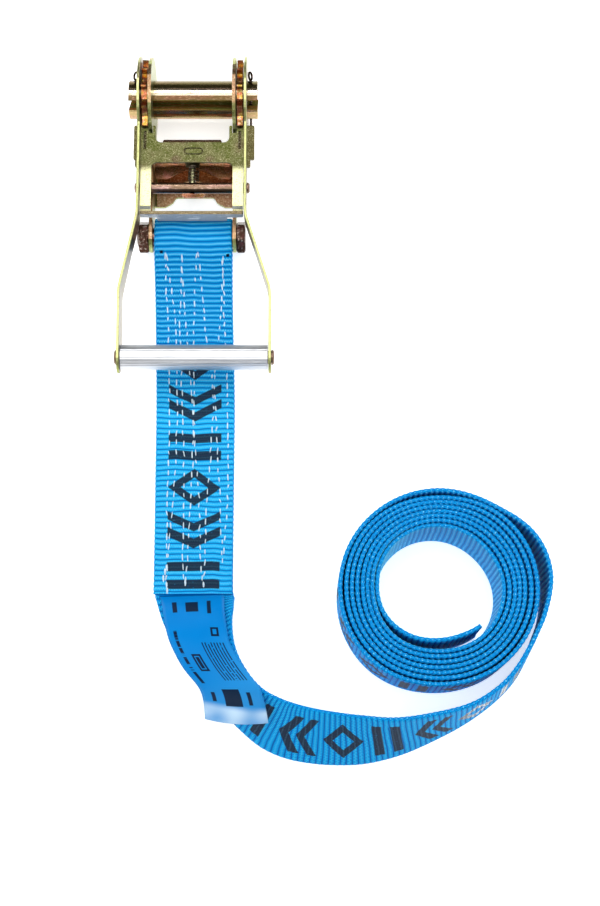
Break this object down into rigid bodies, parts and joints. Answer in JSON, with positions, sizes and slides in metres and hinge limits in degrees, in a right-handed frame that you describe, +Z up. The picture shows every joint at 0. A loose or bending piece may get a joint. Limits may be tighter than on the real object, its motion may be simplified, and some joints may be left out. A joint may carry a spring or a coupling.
{
  "type": "ratchet tie down",
  "caption": "Ratchet tie down: ratchet buckle with sprung pawls, split spindle and tube grip, a sewn loop of wide blue webbing round its bolt, and the rest of the strap rolled up.",
  "frame": {"origin": "middle of the frame's base plate, on its underside", "axes": "+X along the spindle towards the bolt's head, +Y from the grip to the spindle, +Z up from the surface it lies on"},
  "size_m": [0.2634, 0.4464, 0.0545],
  "materials": {
    "zinc_plate": "yellow zinc plated, satin, with green and gold tints",
    "zinc_dark": "yellow zinc plated, with brown and pink tints",
    "spring_steel": "drawn wire, dull",
    "grip_aluminium": "bright, ribbed lengthwise",
    "webbing": "ribbed woven polyester webbing, slight sheen",
    "label_film": "glossy flexible film"
  },
  "bodies": {
    "frame": {"frame": "zinc_plate", "tail_bolt": "zinc_dark", "tail_nut": "zinc_dark", "lock_pawl_spring": "spring_steel", "strap_sewn_loop": "webbing", "strap_free_run": "webbing", "strap_roll": "webbing", "label": "label_film"},
    "lock_pawl": {"lock_pawl": "zinc_dark"},
    "handle": {"handle_plate_left": "zinc_plate", "handle_plate_right": "zinc_plate", "handle_crossbar": "zinc_dark", "grip_rod": "zinc_dark", "drive_pawl_spring": "spring_steel"},
    "drive_pawl": {"drive_pawl": "zinc_plate"},
    "grip_sleeve": {"grip_sleeve": "grip_aluminium"},
    "spindle": {"spindle_half_upper": "zinc_dark", "spindle_half_lower": "zinc_dark", "ratchet_wheel_left": "zinc_dark", "ratchet_wheel_right": "zinc_dark", "split_pin_left": "zinc_dark", "split_pin_right": "zinc_dark"}
  },
  "joints": [
    {"name": "handle_swing", "type": "hinge", "parent": "frame", "child": "handle", "pos_m": [0, 0.046, 0.0275], "axis": [-1, 0, 0], "range_deg": [0, 180]},
    {"name": "spindle_turn", "type": "hinge", "parent": "frame", "child": "spindle", "pos_m": [0, 0.046, 0.0275], "axis": [-1, 0, 0], "continuous": true},
    {"name": "lock_pawl_slide", "type": "slide", "parent": "frame", "child": "lock_pawl", "axis": [0, -1, 0], "range_m": [0, 0.006], "stiffness_N_per_m": 1500, "springref_m": -0.004, "deforming": ["lock_pawl_spring"]},
    {"name": "drive_pawl_slide", "type": "slide", "parent": "handle", "child": "drive_pawl", "axis": [0, -1, 0], "range_m": [0, 0.005], "stiffness_N_per_m": 1500, "springref_m": -0.004, "deforming": ["drive_pawl_spring"]},
    {"name": "grip_spin", "type": "hinge", "parent": "handle", "child": "grip_sleeve", "pos_m": [0, -0.1258, 0.0275], "axis": [-1, 0, 0], "continuous": true}
  ]
}
